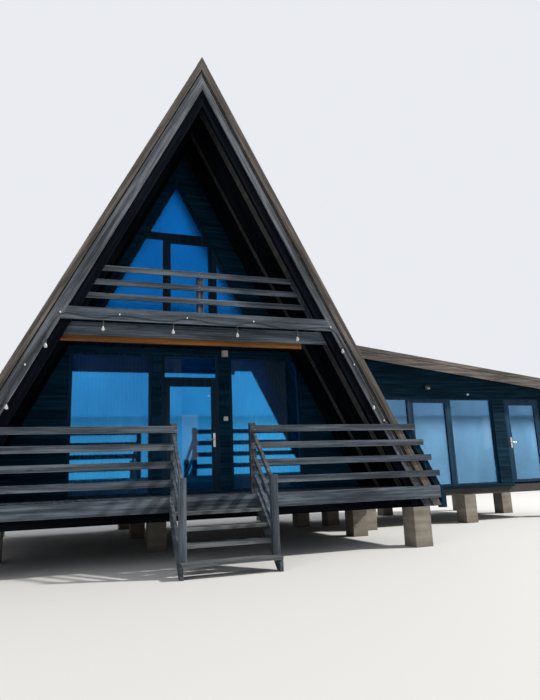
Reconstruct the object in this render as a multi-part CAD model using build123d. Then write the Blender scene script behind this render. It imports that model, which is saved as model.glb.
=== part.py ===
"""A timber A-frame cabin on concrete piers, with a porch, a balcony and a lean-to wing.

All sizes are in millimetres. X runs to the right along the gable front, Y runs back
into the cabin and Z runs up from the ground. While it is drawn, X = 0 is the ridge and
Y = 0 is the face of the barge boards. At the end the whole model is moved so that its
origin is the middle of its footprint on the ground.
"""
import os
from math import cos, radians, sin, tan

from build123d import *

# Ground, piers and floor
pier_top = 620
pier_width = 305
pier_depth = 350
floor_top = 945
floor_thickness = 28
deck_half_width = 3697
sill_inset = 364
sill_width = 230
sill_height = 250
beam_width = 120
row_2_y = 2170
inboard_pier_shift = 452
middle_pier_x = -410

# Main roof
pitch = 62.8
roof_thickness = 145
rafter_depth = 263
rafter_width = 80
porch_rafter_spacing = 750
room_rafter_spacing = 900
roof_foot_z = 620
cabin_length = 8370
board = 30
trim_proud = 15
trim_left_width = 96
trim_right_width = 120
groove_left = 26
groove_right = 50
barge_inner_inset = 272
cap_width = 90
cap_sheet = 4

# Front wall
wall_front_y = 2150
wall_thickness = 150
head_z = 3470
frame_bar = 55
frame_depth = 90
glass_thickness = 24
glass_gap = 0.3
left_window_edge = -516
right_window_edge = 927
left_window_start = -1945
right_window_end = 2370
door_frame_x = (-341, 719)
door_frame_bar = 55
door_gap = 5
leaf_thickness = 68
leaf_stile = 86
leaf_bottom_rail = 60
leaf_top_z = 2954
transom_bar = 85
hinge_radius = 8
hinge_length = 90
hinge_flap = 32
hinge_flap_sheet = 3
handle_height = 940

# Upper floor, balcony and glazed gable
upper_floor_z = (3570, 3645)
rim_upper_z = (3472, 3656)
rim_lower_z = (3268, 3464)
soffit_beam_z = (3185, 3300)
soffit_beam_stop = 487
soffit_beam_width = 45
balcony_rail_y = 330
balcony_rail_tops = (4430, 4205, 3985)
balcony_rail_height = 88
balcony_post = 95
balcony_post_top = 4440
glazing_axis_x = -45
glazing_drop = 1268
glazing_border = 60
transom_drop = 1000
transom_height = 137
mullion_left_x = (-313, -169)
mullion_right_x = (566, 725)
upper_door_bar = 57

# Deck rails
rail_board = 35
rail_height = 95
rail_tops = (1942, 1693, 1444, 1190)
rim_height = 196
rail_overhang = 263
rim_overhang = 88
post_width = 90
deck_post_left_x = -545
deck_post_right_x = 640
deck_post_top = 1985
end_post_near = 70
end_post_far = 182
end_post_reach = 263
end_post_top = 1850
end_post_foot_z = 589
end_post_foot_gap = 6
end_post_depth = 120

# Front stairs
stair_left_x = -530
stair_right_x = 708
stair_skew = 0.045
stringer_thickness = 40
stringer_depth = 290
stringer_rise = 14
stringer_setback = 30
stringer_foot = 150
lowest_tread_x = (-592, 695)
tread_count = 4
going = 262
tread_thickness = 42
tread_lap = 25
stair_post_x = (-595, 628)
stair_post_top = 1205
stair_rail_height = 88
stair_rail_thickness = 40
stair_rail_x = (-527, 677)
stair_rail_ends = ((1813, 1204), (1470, 897), (1215, 650))

# Wing
wing_wall_y = 3250
wing_wall = 140
wing_depth = 3900
wing_wall_start = 863
wing_light_widths = (918, 1048, 1191)
wing_mullion_widths = (40, 45)
wing_post_width = 348
wing_door_width = 1055
wing_end_width = 355
wing_floor_top = 840
wing_roof_z = 4000
wing_roof_fall = 0.1302
wing_roof_thickness = 105
wing_rafter_depth = 150
wing_rafter_count = 6
wing_verge_y = 2850
wing_overhang = 300
wing_rear_overhang = 200
wing_trim_height = 85
wing_trim_groove = 14
wing_verge_height = 268
wing_head_z = 2830
wing_sash_bar = 90
wing_pane_bar = 20
wing_sill_height = 78
wing_sill_proud = 60
wing_leaf_top_z = 2770
wing_window_bottom = 870

# Hidden sides
rear_window_x = (-1700, -300)
rear_window_z = (1700, 3100)
rear_gable_half = 800
rear_gable_z = (4300, 5300)
wing_side_window = 1300
wing_side_window_z = (1700, 2700)

# Small fittings
curtain_thickness = 60
curtain_y = 2420
curtain_top_z = 3480
door_curtain_width = 400
rod_radius = 12
bracket = 24
lamp_x = 836
lamp_z = (3440, 3552)
lamp_width = 120
lamp_depth = 95
switch_z = 2270
switch_size = 80
conduit_radius = 5

# String lights
cable_radius = 4.5
cable_lift = 0.3
string_route = (
    (-3284, 1330), (-2980, 1900), (-2715, 2375), (-2522, 2790), (-2262, 3228), (-2105, 3585),
    (-1760, 3510), (-1509, 3490), (-1297, 3572), (-800, 3500), (-506, 3490), (-309, 3571),
    (180, 3490), (482, 3480), (747, 3571), (1180, 3475), (1474, 3465), (2103, 3555),
    (2255, 3300), (2450, 2930), (2746, 2385), (2923, 2010), (3139, 1590), (3284, 1330),
)
bulb_places = (
    (-2715, 2375), (-2262, 3228), (-1509, 3490), (-506, 3490), (482, 3480), (1474, 3465),
    (2255, 3300), (2746, 2385),
)
bulb_forward = 27
drop_length = 85
holder_radius = 14
holder_wall = 4
holder_length = 45
bulb_radius = 24
bulb_length = 72
plug_radius = 11
plug_length = 60

slope = tan(radians(pitch))
across = sin(radians(pitch))
along = cos(radians(pitch))
apex_z = floor_top + deck_half_width * slope
wall_back_y = wall_front_y + wall_thickness
rafter_inset = roof_thickness + rafter_depth
sill_inner_x = deck_half_width - sill_inset
end_post_outer_x = deck_half_width + end_post_reach
glazing_apex_z = apex_z - glazing_drop
transom_z = (glazing_apex_z - transom_drop - transom_height, glazing_apex_z - transom_drop)
sill_top = pier_top + sill_height
beam_top = floor_top - floor_thickness
rail_back_y = -trim_proud
rail_front_y = rail_back_y - rail_board
wing_window_left = deck_half_width + wing_wall_start
wing_window_right = wing_window_left + sum(wing_light_widths) + sum(wing_mullion_widths)
wing_window_x = (wing_window_left, wing_window_right)
wing_door_x = (wing_window_right + wing_post_width, wing_window_right + wing_post_width + wing_door_width)
wing_end_x = wing_door_x[1] + wing_end_width


def half_width(z, inset=0):
    """Distance from the ridge line to a line parallel to the roof, at height z."""
    return (apex_z - z) / slope - inset / across


def ridge_z(inset=0):
    """Height at which such a line meets its mirror image under the ridge."""
    return apex_z - inset / along


left_window_x = (left_window_start, left_window_edge)
right_window_x = (right_window_edge, right_window_end)


def box(x, y, z):
    """A box between pairs of low and high coordinates."""
    size = (x[1] - x[0], y[1] - y[0], z[1] - z[0])
    return Pos(x[0], y[0], z[0]) * Box(*size, align=(Align.MIN, Align.MIN, Align.MIN))


def panel(points, y):
    """A flat panel: an outline in X and Z, given its thickness along Y."""
    outline = Polyline(*[(px, y[0], pz) for px, pz in points], close=True)
    return extrude(make_face(outline), amount=y[1] - y[0], dir=(0, 1, 0))


def mirrored(points):
    """The same outline on the other side of the ridge."""
    return [(-px, pz) for px, pz in points]


def strip(near, far, low_z, y, side):
    """A length of timber parallel to the roof, between two insets, cut level at its foot."""
    outline = [
        (0, ridge_z(near)),
        (half_width(low_z, near), low_z),
        (half_width(low_z, far), low_z),
        (0, ridge_z(far)),
    ]
    return panel(outline if side > 0 else mirrored(outline), y)


def between_slopes(z, inset, y):
    """A level band that fits between two lines parallel to the roof."""
    low, high = half_width(z[0], inset), half_width(z[1], inset)
    return panel([(-low, z[0]), (low, z[0]), (high, z[1]), (-high, z[1])], y)


def group(solids):
    """Several like solids in one piece."""
    return Compound(list(solids))


def rows():
    """Front faces of the rows of piers: the last is flush with the rear wall."""
    last = cabin_length - pier_depth
    return (0, row_2_y, (row_2_y + last) / 2, last)


def piers():
    solids = []
    outer = sill_inner_x + pier_width / 2
    for y in rows():
        columns = [-outer, outer] if y == 0 else [-outer, middle_pier_x, outer]
        if y == row_2_y:
            columns[0] += inboard_pier_shift
        for x in columns:
            width = (x - pier_width / 2, x + pier_width / 2)
            solids.append(box(width, (y, y + pier_depth), (0, pier_top)))
    return group(solids)


def side_sills():
    return group(
        box(sorted((side * sill_inner_x, side * (sill_inner_x + sill_width))),
            (board, cabin_length), (pier_top, sill_top))
        for side in (-1, 1)
    )


def cross_beams():
    solids = []
    for y in rows():
        start = max(y + (pier_depth - beam_width) / 2, board)
        solids.append(box((-sill_inner_x, sill_inner_x), (start, start + beam_width), (pier_top, beam_top)))
    return group(solids)


def floor_slab(y):
    edge = half_width(floor_top, rafter_inset) - 9
    return box((-edge, edge), y, (beam_top, floor_top))


def rafter_starts():
    """Front faces of the rafter pairs: three in the porch, the rest evenly along the rooms."""
    porch = [board + i * porch_rafter_spacing for i in range(3)]
    room = cabin_length - wall_thickness - wall_back_y
    bays = round(room / room_rafter_spacing)
    step = room / bays
    return porch + [wall_back_y + i * step - rafter_width / 2 for i in range(1, bays)]


def rafters():
    return group(
        strip(roof_thickness, rafter_inset, sill_top, (y, y + rafter_width), side)
        for y in rafter_starts() for side in (-1, 1)
    )


def roof(side):
    return strip(0, roof_thickness, roof_foot_z, (board, cabin_length), side)


def verge(side, trim_width, y):
    return strip(0, trim_width, roof_foot_z + 10, y, side)


def barge(side, near, y):
    return strip(near, barge_inner_inset, roof_foot_z + 10, y, side)


def ridge_cap():
    lift = cap_sheet / along
    drop = cap_width * slope
    outline = [
        (0, apex_z + lift), (cap_width, apex_z + lift - drop), (cap_width, apex_z - drop),
        (0, apex_z), (-cap_width, apex_z - drop), (-cap_width, apex_z + lift - drop),
    ]
    return panel(outline, (rail_back_y, cabin_length + board + trim_proud))


def rim():
    end = half_width(floor_top - rim_height / 2) + rim_overhang
    return box((-end, end), (rail_front_y, rail_back_y), (floor_top - rim_height, floor_top))


def deck_rails():
    solids = []
    for top in rail_tops:
        end = half_width(top - rail_height / 2) + rail_overhang
        for x in ((-end, deck_post_left_x + post_width), (deck_post_right_x, end)):
            solids.append(box(x, (rail_front_y, rail_back_y), (top - rail_height, top)))
    return group(solids)


def deck_posts():
    return group(
        box((x, x + post_width), (rail_back_y, rail_back_y + post_width), (floor_top, deck_post_top))
        for x in (deck_post_left_x, deck_post_right_x)
    )


def end_posts():
    """Boards that follow the roof's slope outside it and turn upright at the foot."""
    inner_x = half_width(roof_foot_z) + end_post_foot_gap
    outline = [
        (half_width(end_post_top) + end_post_near, end_post_top),
        (half_width(end_post_top) + end_post_far, end_post_top),
        (end_post_outer_x, apex_z - slope * (end_post_outer_x - end_post_far)),
        (end_post_outer_x, end_post_foot_z),
        (inner_x, end_post_foot_z),
        (inner_x, apex_z - slope * (inner_x - end_post_near)),
    ]
    y = (rail_back_y, rail_back_y + end_post_depth)
    return group([panel(outline, y), panel(mirrored(outline), y)])


def riser():
    return floor_top / (tread_count + 1)


def stair_line(y):
    """Height of the nosing line at a point y in front of the deck."""
    return floor_top + (y - rail_front_y) * riser() / going


def skewed(x, y):
    """The steps stand slightly askew: their sides drift to the left towards the front."""
    return x + stair_skew * (y - rail_front_y)


def upright(x, outline, thickness):
    """A board on edge along the stairs: an outline in Y and Z with its thickness along X."""
    face = make_face(Polyline(*[(skewed(x, py), py, pz) for py, pz in outline], close=True))
    return extrude(face, amount=thickness, dir=(1, 0, 0))


def going_plane(i):
    """Where the nosing of tread i stands, counted from the deck."""
    return rail_front_y - i * going


def stringers():
    """Closed stringers: cut round the lowest tread, which lies over them."""
    last_top = floor_top - tread_count * riser() - tread_thickness
    post_back = going_plane(tread_count - 1)
    front = going_plane(tread_count) + stringer_setback
    outline = [
        (rail_front_y, stair_line(rail_front_y) + stringer_rise), (post_back, stair_line(post_back) + stringer_rise),
        (post_back, last_top), (front, last_top), (front, 0), (front + stringer_foot, 0),
        (rail_front_y, stair_line(rail_front_y) - stringer_depth),
    ]
    return group(upright(x, outline, stringer_thickness) for x in (stair_left_x - stringer_thickness, stair_right_x))


def stair_treads():
    """Treads between the stringers; the lowest one lies over them and carries the posts."""
    solids = []
    for i in range(1, tread_count + 1):
        top = floor_top - i * riser()
        lap = tread_lap if 1 < i < tread_count else 0
        front, back = going_plane(i), going_plane(i - 1) + lap
        if i == tread_count:
            solids.append(box(lowest_tread_x, (front, back), (top - tread_thickness, top)))
            continue
        corners = [(skewed(x, y), y) for x, y in
                   ((stair_left_x, front), (stair_right_x, front), (stair_right_x, back), (stair_left_x, back))]
        face = make_face(Polyline(*[(px, py, top) for px, py in corners], close=True))
        solids.append(extrude(face, amount=tread_thickness, dir=(0, 0, -1)))
    return group(solids)


def stair_posts():
    back = going_plane(tread_count - 1)
    bottom = floor_top - tread_count * riser()
    return group(box((x, x + post_width), (back - post_width, back), (bottom, stair_post_top)) for x in stair_post_x)


def stair_rails():
    """Three sloping boards a side, from the deck down to the front post: the top one meets the deck post."""
    front_y = going_plane(tread_count - 1)
    solids = []
    for x in stair_rail_x:
        for i, (high, low) in enumerate(stair_rail_ends):
            back_y = rail_back_y if i == 0 else rail_front_y
            top = high + (high - low) * (back_y - rail_front_y) / (rail_front_y - front_y)
            outline = [(back_y, top), (front_y, low), (front_y, low - stair_rail_height), (back_y, top - stair_rail_height)]
            solids.append(upright(x, outline, stair_rail_thickness))
    return group(solids)


def front_wall_left():
    """The clad wall between the left window and the roof."""
    outline = [
        (left_window_x[0], floor_top), (-half_width(floor_top, roof_thickness), floor_top),
        (-half_width(head_z, roof_thickness), head_z), (left_window_x[0], head_z),
    ]
    return panel(outline, (wall_front_y, wall_back_y))


def right_window_corner():
    """Height at which the right window's outer edge meets the roof, which cuts off its top corner."""
    return apex_z - slope * (right_window_x[1] + roof_thickness / across)


def front_wall_right():
    """The clad triangle between the right window and the roof."""
    outline = [
        (right_window_x[1], floor_top), (half_width(floor_top, roof_thickness), floor_top),
        (right_window_x[1], right_window_corner()),
    ]
    return panel(outline, (wall_front_y, wall_back_y))


def front_wall_posts():
    y = (wall_front_y, wall_back_y)
    return group([
        box((left_window_x[1], door_frame_x[0]), y, (floor_top, head_z)),
        box((door_frame_x[1], right_window_x[0]), y, (floor_top, head_z)),
    ])


def framed(x, z, y, bar, bottom_bar=None):
    """A rectangular frame and the pane of glass that fills it."""
    low = z[0] + (bottom_bar or bar)
    middle = (y[0] + y[1]) / 2
    frame = box(x, y, z) - box((x[0] + bar, x[1] - bar), y, (low, z[1] - bar))
    pane = pane_box((x[0] + bar, x[1] - bar), middle, (low, z[1] - bar))
    return frame, pane


def pane_box(x, middle, z):
    return box((x[0] + glass_gap, x[1] - glass_gap), (middle - glass_thickness / 2, middle + glass_thickness / 2),
               (z[0] + glass_gap, z[1] - glass_gap))


def frame_y(wall_y=wall_front_y, depth=wall_thickness):
    """Where a frame sits in the thickness of its wall."""
    start = wall_y + (depth - frame_depth) / 2
    return (start, start + frame_depth)


def under_slope(x, z, inset):
    """The outline of an upright rectangle with its right top corner cut off along the roof."""
    corner_z = apex_z - slope * (x[1] + inset / across)
    return [(x[0], z[0]), (x[1], z[0]), (x[1], corner_z), (half_width(z[1], inset), z[1]), (x[0], z[1])]


def front_windows():
    """The left window, and the right one whose top corner follows the roof."""
    y = frame_y()
    z = (floor_top, head_z)
    left_frame, left_pane = framed(left_window_x, z, y, frame_bar)
    hole_x = (right_window_x[0] + frame_bar, right_window_x[1] - frame_bar)
    hole_z = (floor_top + frame_bar, head_z - frame_bar)
    hole = under_slope(hole_x, hole_z, roof_thickness + frame_bar)
    right_frame = panel(under_slope(right_window_x, z, roof_thickness), y) - panel(hole, y)
    middle = (y[0] + y[1]) / 2
    pane_x = (hole_x[0] + glass_gap, hole_x[1] - glass_gap)
    pane_z = (hole_z[0] + glass_gap, hole_z[1] - glass_gap)
    right_pane = panel(under_slope(pane_x, pane_z, roof_thickness + frame_bar + glass_gap),
                       (middle - glass_thickness / 2, middle + glass_thickness / 2))
    return group([left_frame, right_frame]), group([left_pane, right_pane])


def hinges(axis_x, axis_y, leaf_bottom, leaf_top, side):
    """Two butt hinges: the fixed halves below, the moving halves above them on one pin line."""
    fixed, moving = [], []
    flap = (axis_y + hinge_radius - hinge_flap_sheet + 1, axis_y + hinge_radius + 1)
    for z in (leaf_bottom + 200, leaf_top - 200 - hinge_length):
        half = hinge_length / 2
        fixed.append(Pos(axis_x, axis_y, z + half / 2) * Cylinder(hinge_radius, half))
        moving.append(Pos(axis_x, axis_y, z + half * 1.5 + glass_gap) * Cylinder(hinge_radius, half))
        away = sorted((axis_x, axis_x - side * hinge_flap))
        toward = sorted((axis_x, axis_x + side * hinge_flap))
        fixed[-1] = fixed[-1] + box(away, flap, (z, z + half))
        moving[-1] = moving[-1] + box(toward, flap, (z + half + glass_gap, z + half * 2 + glass_gap))
    return fixed, moving


def door_set(frame_x, front_y, wall_depth, bottom, leaf_top, top, hinge_side, transom):
    """Frame, leaf, glass, hinges and handle of one glazed door that opens outwards."""
    opening = (frame_x[0] + door_frame_bar, frame_x[1] - door_frame_bar)
    depth = (front_y, front_y + wall_depth)
    frame = box(frame_x, depth, (bottom, top)) - box(opening, depth, (bottom, leaf_top + door_gap))
    transom_glass = None
    if transom:
        light = (leaf_top + transom_bar, top - door_frame_bar)
        frame = frame - box(opening, depth, light)
        transom_glass = pane_box(opening, front_y + leaf_thickness / 2, light)
    leaf_x = (opening[0] + door_gap, opening[1] - door_gap)
    leaf_z = (bottom + 2 * door_gap, leaf_top)
    leaf_y = (front_y, front_y + leaf_thickness)
    hole_x = (leaf_x[0] + leaf_stile, leaf_x[1] - leaf_stile)
    hole_z = (leaf_z[0] + leaf_bottom_rail, leaf_z[1] - leaf_stile)
    leaf = box(leaf_x, leaf_y, leaf_z) - box(hole_x, leaf_y, hole_z)
    glass = pane_box(hole_x, front_y + leaf_thickness / 2, hole_z)
    axis_x = opening[0] + door_gap / 2 if hinge_side < 0 else opening[1] - door_gap / 2
    axis_y = front_y - hinge_radius - 1
    fixed, moving = hinges(axis_x, axis_y, leaf_z[0], leaf_z[1], -hinge_side)
    for half in fixed:
        frame = frame + half
    for half in moving:
        leaf = leaf + half
    handle_x = leaf_x[1] - leaf_stile / 2 if hinge_side < 0 else leaf_x[0] + leaf_stile / 2
    handle = door_handle(handle_x, front_y, bottom + handle_height, hinge_side)
    print("hinge axis", round(axis_x, 2), round(axis_y, 2))
    return frame, transom_glass, leaf, glass, handle


def door_handle(x, face_y, z, hinge_side):
    """A long plate with a lever that points towards the hinges."""
    plate = box((x - 20, x + 20), (face_y - 9, face_y), (z - 125, z + 125))
    plate = fillet(plate.edges().filter_by(Axis.Y), 8)
    neck = Pos(x, face_y - 30, z + 10) * Rot(90, 0, 0) * Cylinder(10, 44)
    reach = hinge_side * 125
    middle_x = x + reach / 2 - hinge_side * 8
    lever = Pos(middle_x, face_y - 48, z + 10) * Rot(0, 90, 0) * Cylinder(9, 125)
    return plate + neck + lever


def gable_outline(apex, low_z):
    """A triangle under the ridge, cut level at its foot, on the glazing's own centre line."""
    reach = (apex - low_z) / slope
    return [(glazing_axis_x, apex), (glazing_axis_x + reach, low_z), (glazing_axis_x - reach, low_z)]


def gable_opening():
    return gable_outline(glazing_apex_z + glazing_border / along, upper_floor_z[1])


def gable_wall():
    foot = half_width(upper_floor_z[1], roof_thickness)
    outline = [(0, ridge_z(roof_thickness)), (foot, upper_floor_z[1]), (-foot, upper_floor_z[1])]
    y = (wall_front_y, wall_back_y)
    return panel(outline, y) - panel(gable_opening(), y)


def clipped_pane(x, z, y, apex):
    """The part of an upright rectangle that lies under the glazing's sloping edges."""
    tall = box(x, y, z)
    return tall & panel(gable_outline(apex, z[0] - 1), y)


def gable_glazing():
    """The frame of the glazed gable and its panes: a triangle over three lower lights."""
    y = frame_y()
    bottom = upper_floor_z[1] + glazing_border
    reach = half_width(upper_floor_z[1])
    wide = (-reach, reach)
    holes = [
        (wide, (transom_z[1], apex_z)),
        ((wide[0], mullion_left_x[0]), (bottom, transom_z[0])),
        ((mullion_left_x[1], mullion_right_x[0]), (bottom, transom_z[0] - upper_door_bar)),
        ((mullion_right_x[1], wide[1]), (bottom, transom_z[0])),
    ]
    frame = panel(gable_opening(), y)
    panes = []
    middle = (y[0] + y[1]) / 2
    glass_y = (middle - glass_thickness / 2, middle + glass_thickness / 2)
    for x, z in holes:
        frame = frame - clipped_pane(x, z, y, glazing_apex_z)
        inner_x = (x[0] + glass_gap, x[1] - glass_gap)
        inner_z = (z[0] + glass_gap, z[1] - glass_gap)
        panes.append(clipped_pane(inner_x, inner_z, glass_y, glazing_apex_z - glass_gap / along))
    return frame, group(panes)


def balcony_rim():
    """The fascia at the edge of the balcony, and a second board below it behind the first rafters."""
    behind = board + rafter_width
    return group([
        between_slopes(rim_upper_z, barge_inner_inset, (0, board)),
        between_slopes(rim_lower_z, roof_thickness, (behind, behind + board)),
    ])


def soffit_beam():
    start = board + rafter_width + board
    y = (start, start + soffit_beam_width)
    z = soffit_beam_z
    low, high = half_width(z[0], rafter_inset), half_width(z[1], rafter_inset)
    stop = low - soffit_beam_stop
    outline = [(-low, z[0]), (stop, z[0]), (stop, z[1]), (-high, z[1])]
    return panel(outline, y)


def balcony_rails():
    y = (balcony_rail_y, balcony_rail_y + board)
    return group(
        between_slopes((top - balcony_rail_height, top), rafter_inset - 60, y) for top in balcony_rail_tops
    )


def balcony_post_piece():
    start = balcony_rail_y + board
    half = balcony_post / 2
    return box((-half, half), (start, start + balcony_post), (upper_floor_z[1], balcony_post_top))


def balcony_cleats():
    """Uprights on the inner faces of the roof that carry the ends of the balcony rails."""
    y = (balcony_rail_y + board, balcony_rail_y + board + 45)
    low_z, high_z = upper_floor_z[1], balcony_post_top
    solids = []
    for side in (-1, 1):
        outline = [
            (half_width(low_z, roof_thickness), low_z), (half_width(high_z, roof_thickness), high_z),
            (half_width(high_z, rafter_inset - 60), high_z), (half_width(low_z, rafter_inset - 60), low_z),
        ]
        solids.append(panel(outline if side > 0 else mirrored(outline), y))
    return group(solids)


def upper_floor(y):
    return between_slopes(upper_floor_z, rafter_inset, y)


def mirror_pair(x):
    return (-x[1], -x[0])


def rear_wall():
    """The wall below the upper floor and the gable above it, with their windows cut through."""
    y = (cabin_length - wall_thickness, cabin_length)
    lower = between_slopes((floor_top, upper_floor_z[0]), roof_thickness, y)
    for x in (rear_window_x, mirror_pair(rear_window_x)):
        lower = lower - box(x, y, rear_window_z)
    foot = half_width(upper_floor_z[1], roof_thickness)
    outline = [(0, ridge_z(roof_thickness)), (foot, upper_floor_z[1]), (-foot, upper_floor_z[1])]
    upper = panel(outline, y) - box((-rear_gable_half, rear_gable_half), y, rear_gable_z)
    return group([lower, upper])


def rear_windows():
    y = frame_y(cabin_length - wall_thickness)
    frames, panes = [], []
    places = (
        (rear_window_x, rear_window_z),
        (mirror_pair(rear_window_x), rear_window_z),
        ((-rear_gable_half, rear_gable_half), rear_gable_z),
    )
    for x, z in places:
        frame, pane = framed(x, z, y, frame_bar)
        frames.append(frame)
        panes.append(pane)
    return group(frames), group(panes)


def curtain_end():
    """The right-hand curtain and its rod stop short of the roof."""
    return half_width(curtain_top_z + 4 * rod_radius, roof_thickness)


def curtain(x, z):
    return box(x, (curtain_y, curtain_y + curtain_thickness), z)


def curtain_rods():
    """Rods over the windows and the door, each on two brackets from the wall."""
    solids = []
    middle_y = curtain_y + curtain_thickness / 2
    z = curtain_top_z + rod_radius + glass_gap
    for x in (left_window_x, door_frame_x, (right_window_x[0], curtain_end())):
        low, high = x[0] + 10, x[1] - 10
        rod = Pos((low + high) / 2, middle_y, z) * Rot(0, 90, 0) * Cylinder(rod_radius, high - low)
        for end in (low + 30, high - 30):
            arm = (end - bracket / 2, end + bracket / 2)
            rod = rod + box(arm, (wall_back_y, middle_y), (z - 6, z + 6))
        solids.append(rod)
    return group(solids)


def lamp():
    half = lamp_width / 2
    body = box((lamp_x - half, lamp_x + half), (wall_front_y - lamp_depth, wall_front_y), lamp_z)
    return fillet(body.edges().filter_by(Axis.Z), 20)


def switch_box():
    half = switch_size / 2
    body = box((lamp_x - half, lamp_x + half), (wall_front_y - 45, wall_front_y), (switch_z - half, switch_z + half))
    return fillet(body.edges().filter_by(Axis.Y), 8)


def lamp_conduit():
    length = lamp_z[0] - switch_z - switch_size / 2
    middle = (lamp_z[0] + switch_z + switch_size / 2) / 2
    return Pos(lamp_x, wall_front_y - conduit_radius, middle) * Cylinder(conduit_radius, length)


def arc_middle(before, corner, after):
    """The start, middle and end of the arc that rounds a corner of the string lights' route."""
    into, out = (corner - before).normalized(), (after - corner).normalized()
    trim = 0.45 * min((corner - before).length, (after - corner).length)
    turn = radians(into.get_angle(out))
    inward = (out - into).normalized()
    return corner - into * trim, corner + inward * trim * tan(turn / 4), corner + out * trim


def string_points():
    y = -cable_radius - cable_lift
    return [Vector(x, y, z) for x, z in string_route]


def bulb_tops():
    """Where each bulb's drop leaves the cable: the middle of the arc at its corner."""
    points = string_points()
    corners = [string_route.index(place) for place in bulb_places]
    return [arc_middle(*points[i - 1:i + 2])[1] for i in corners]


def string_cable():
    """The festoon cable, held on the faces of the barge boards and the balcony rim."""
    points = string_points()
    edges = []
    start = points[0]
    for i in range(1, len(points) - 1):
        arc_start, middle, arc_end = arc_middle(*points[i - 1:i + 2])
        edges.append(Edge.make_line(start, arc_start))
        edges.append(Edge.make_three_point_arc(arc_start, middle, arc_end))
        start = arc_end
    edges.append(Edge.make_line(start, points[-1]))
    path = Wire(edges)
    return sweep(Plane(origin=points[0], z_dir=points[1] - points[0]) * Circle(cable_radius), path=path)


def string_holders():
    """A short drop with a lamp holder in front of the cable at each bulb, and a plug at each end."""
    points = string_points()
    solids = []
    for end, inward in ((points[0], points[1]), (points[-1], points[-2])):
        place = Plane(origin=end + Vector(0, cable_radius - plug_radius, 0), z_dir=end - inward)
        solids.append(place * Pos(0, 0, plug_length / 2 + cable_lift) * Cylinder(plug_radius, plug_length))
    for place in bulb_tops():
        top = place - Vector(0, 2 * cable_radius + cable_lift, 0)
        low = Vector(top.X, -bulb_forward, top.Z - drop_length)
        drop = Plane(origin=(top + low) / 2, z_dir=low - top) * Cylinder(cable_radius, (low - top).length)
        holder = Pos(low.X, low.Y, low.Z - holder_length / 2) * Cylinder(holder_radius, holder_length)
        solids.append(drop + holder)
    return group(solids)


def bulb():
    """A small clear bulb that hangs down: half its outline, turned round."""
    neck = holder_radius - holder_wall
    belly = bulb_length - bulb_radius
    diagonal = bulb_radius * cos(radians(45))
    outline = [
        Line((0, 0), (neck, 0)),
        Spline((neck, 0), (bulb_radius, -belly), tangents=((0, -1), (0, -1))),
        ThreePointArc((bulb_radius, -belly), (diagonal, -belly - diagonal), (0, -bulb_length)),
        Line((0, -bulb_length), (0, 0)),
    ]
    return revolve(Plane.XZ * make_face(Curve() + outline), axis=Axis.Z)


def string_bulbs():
    reach = drop_length + holder_length
    return group(Pos(top.X, -bulb_forward, top.Z - reach) * bulb() for top in bulb_tops())


def wing_top(x):
    """Height of the wing's roof, which falls away from the main roof's deck line."""
    return wing_roof_z - wing_roof_fall * (x - deck_half_width)


def wing_meets_roof(drop):
    """Where a plane below the wing's roof meets the main roof's slope."""
    x = (apex_z - wing_roof_z - wing_roof_fall * deck_half_width + drop) / (slope - wing_roof_fall)
    return (x, wing_top(x) - drop)


def wing_band(top_drop, bottom_drop, x_end, y):
    """A band parallel to the wing's roof, from the main roof's slope out to x_end."""
    outline = [
        wing_meets_roof(top_drop), (x_end, wing_top(x_end) - top_drop),
        (x_end, wing_top(x_end) - bottom_drop), wing_meets_roof(bottom_drop),
    ]
    return panel(outline, y)


def wing_roof_y():
    return (wing_verge_y + board, wing_wall_y + wing_depth + wing_rear_overhang)


def wing_roof():
    return wing_band(0, wing_roof_thickness, wing_end_x + wing_overhang, wing_roof_y())


def wing_rafters():
    start, end = wing_roof_y()
    step = (end - start - rafter_width) / (wing_rafter_count - 1)
    low = wing_roof_thickness
    solids = []
    for i in range(wing_rafter_count):
        y = start + i * step
        if y < wing_wall_y < y + rafter_width or i == 1:
            y = wing_wall_y + wing_wall + 10
        if i == wing_rafter_count - 2:
            y = wing_wall_y + wing_depth - wing_wall - 10 - rafter_width
        x_end = wing_end_x + wing_overhang if i in (0, wing_rafter_count - 1) else wing_end_x - wing_wall
        solids.append(wing_band(low, low + wing_rafter_depth, x_end, (y, y + rafter_width)))
    return group(solids)


def wing_verge_boards():
    """The trim over the barge board along the wing's front and rear edges."""
    start, end = wing_roof_y()
    trim, barges = [], []
    x_end = wing_end_x + wing_overhang
    for y in ((start - board, start), (end, end + board)):
        trim.append(wing_band(0, wing_trim_height, x_end, y))
        barges.append(wing_band(wing_trim_height + wing_trim_groove, wing_verge_height, x_end, y))
    return group(trim), group(barges)


def wing_front_under(x, z_low, y):
    """A piece of the wing's wall from z_low up to the roof, trimmed by the main roof."""
    high = wing_roof_thickness
    outline = [(x[0], z_low), (x[1], z_low), (x[1], wing_top(x[1]) - high), (x[0], wing_top(x[0]) - high)]
    return panel(outline, y)


def wing_wall_head():
    """The frieze over the windows and the door."""
    y = (wing_wall_y, wing_wall_y + wing_wall)
    outline = [
        (half_width(wing_head_z), wing_head_z), (wing_end_x, wing_head_z),
        (wing_end_x, wing_top(wing_end_x) - wing_roof_thickness), wing_meets_roof(wing_roof_thickness),
    ]
    return panel(outline, y)


def wing_wall_left():
    y = (wing_wall_y, wing_wall_y + wing_wall)
    outline = [
        (half_width(wing_floor_top), wing_floor_top), (wing_window_x[0], wing_floor_top),
        (wing_window_x[0], wing_head_z), (half_width(wing_head_z), wing_head_z),
    ]
    return panel(outline, y)


def wing_wall_panels():
    y = (wing_wall_y, wing_wall_y + wing_wall)
    z = (wing_floor_top, wing_head_z)
    return group([
        box((wing_window_x[1], wing_door_x[0]), y, z),
        box((wing_door_x[1], wing_end_x), y, z),
    ])


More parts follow.
